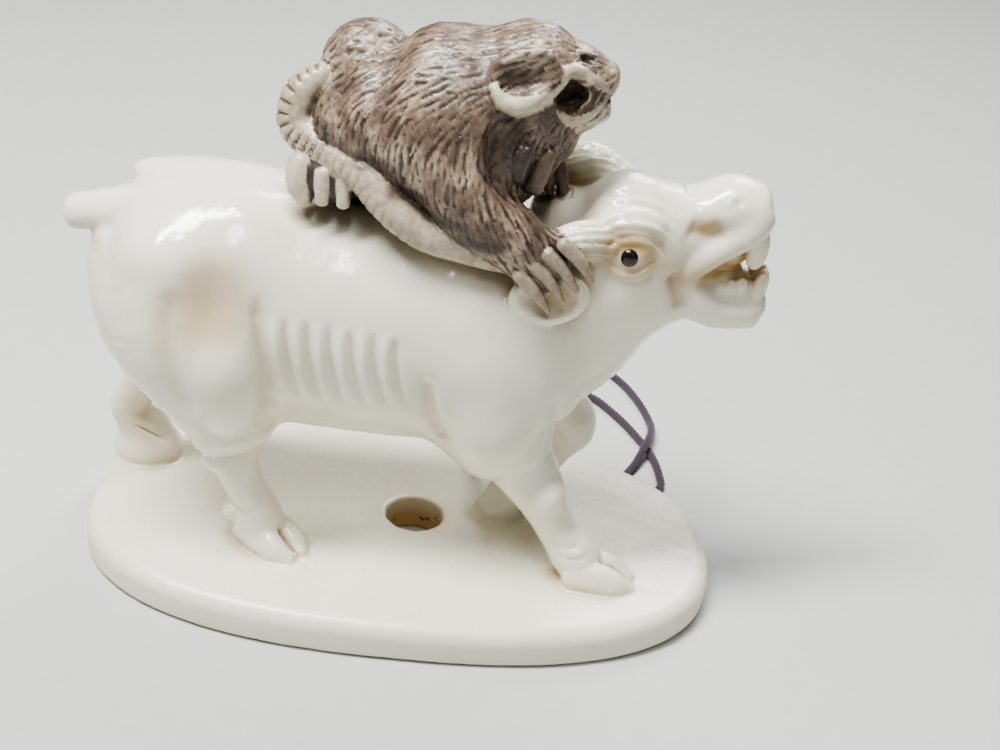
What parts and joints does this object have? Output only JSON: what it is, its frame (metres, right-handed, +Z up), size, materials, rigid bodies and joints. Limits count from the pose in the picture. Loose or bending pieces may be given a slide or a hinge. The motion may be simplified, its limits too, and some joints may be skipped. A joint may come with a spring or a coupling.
{
  "type": "netsuke",
  "caption": "Small carved ivory netsuke: a furred beast crouches on a water buffalo and grips its head, on an oval plinth with a cord hole.",
  "frame": {"origin": "centre of the box of the carving, on the plinth's underside", "axes": "+X towards the buffalo's nose, +Y towards its far side, +Z up from the plinth's underside"},
  "size_m": [0.0456, 0.0445, 0.0388],
  "materials": {
    "ivory": "polished ivory, creamy white with yellow patina in the crevices; the beast's fur is stained brown between cream locks",
    "dark_horn": "polished dark horn inlay",
    "cotton_thread": "twisted dark purple-brown sewing thread, matte"
  },
  "bodies": {
    "root": {"carving": "ivory", "pupil_near": "dark_horn", "pupil_far": "dark_horn", "thread": "cotton_thread", "thread_tie": "cotton_thread"}
  },
  "joints": []
}
